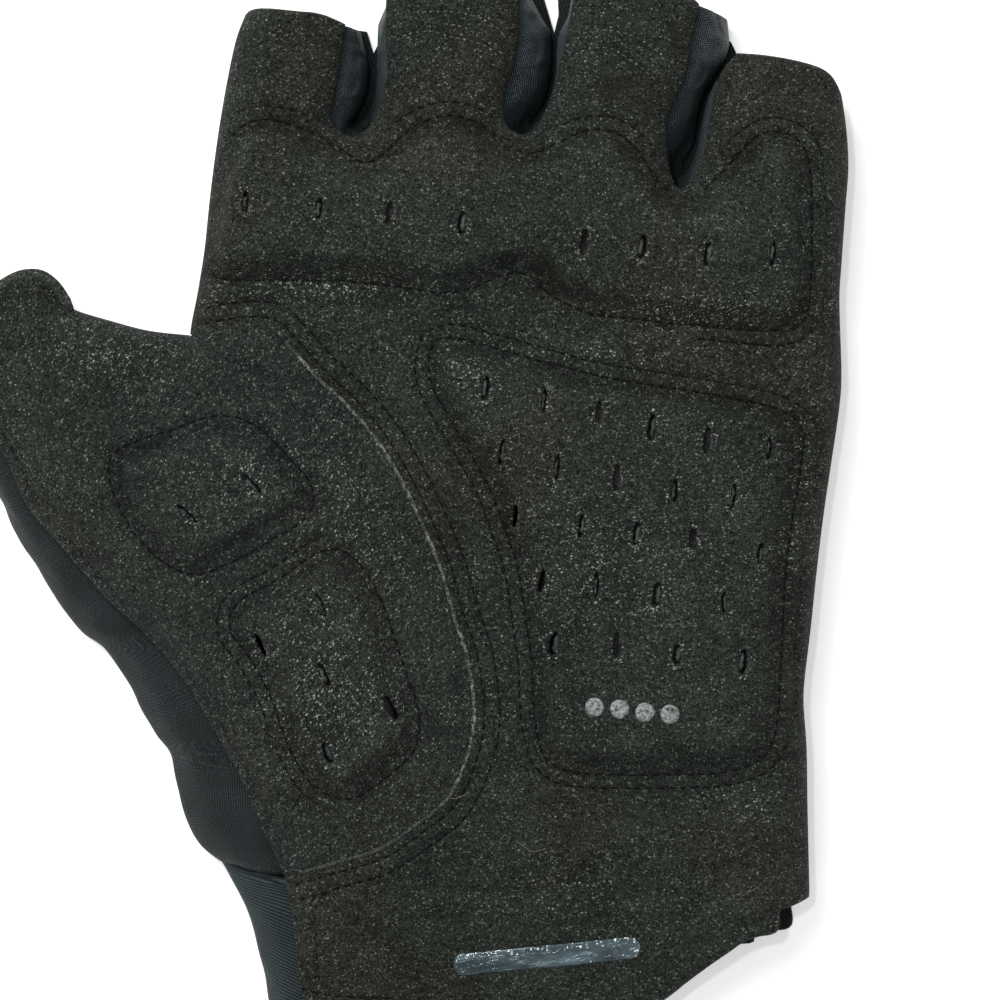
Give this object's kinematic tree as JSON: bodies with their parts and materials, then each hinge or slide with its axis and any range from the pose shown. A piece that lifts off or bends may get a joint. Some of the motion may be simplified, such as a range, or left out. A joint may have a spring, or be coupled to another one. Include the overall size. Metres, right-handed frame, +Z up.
{
  "type": "cycling glove",
  "caption": "Half-finger padded cycling glove for a left hand, lying palm up, with suede palm, knit back, finger gussets and raised gel pads.",
  "frame": {"origin": "centre of the glove's plan bounds, on the surface it lies on", "axes": "+Y from the cuff towards the fingertips, +Z up out of the palm, the thumb on -X"},
  "size_m": [0.1378, 0.1647, 0.0178],
  "materials": {
    "suede_palm": "matte napped synthetic suede, brown-black",
    "suede_thumb": "matte napped synthetic suede, olive-black",
    "knit_back": "fine satin knit, blue-black",
    "rib_gusset": "fine ribbed satin knit, blue-black",
    "twill_cuff": "diagonal twill, blue-grey black",
    "gel_pad": "smooth soft gel, blue-grey"
  },
  "bodies": {
    "root": {"palm_panel": "suede_palm", "thumb_panel": "suede_thumb", "back_panel": "knit_back", "cuff_side": "twill_cuff", "gusset_index_middle": "rib_gusset", "gusset_middle_ring": "rib_gusset", "gusset_ring_little": "rib_gusset", "finger_pad": "gel_pad", "heel_pad": "gel_pad", "thumb_pad_upper": "gel_pad", "thumb_pad_lower": "gel_pad"}
  },
  "joints": []
}
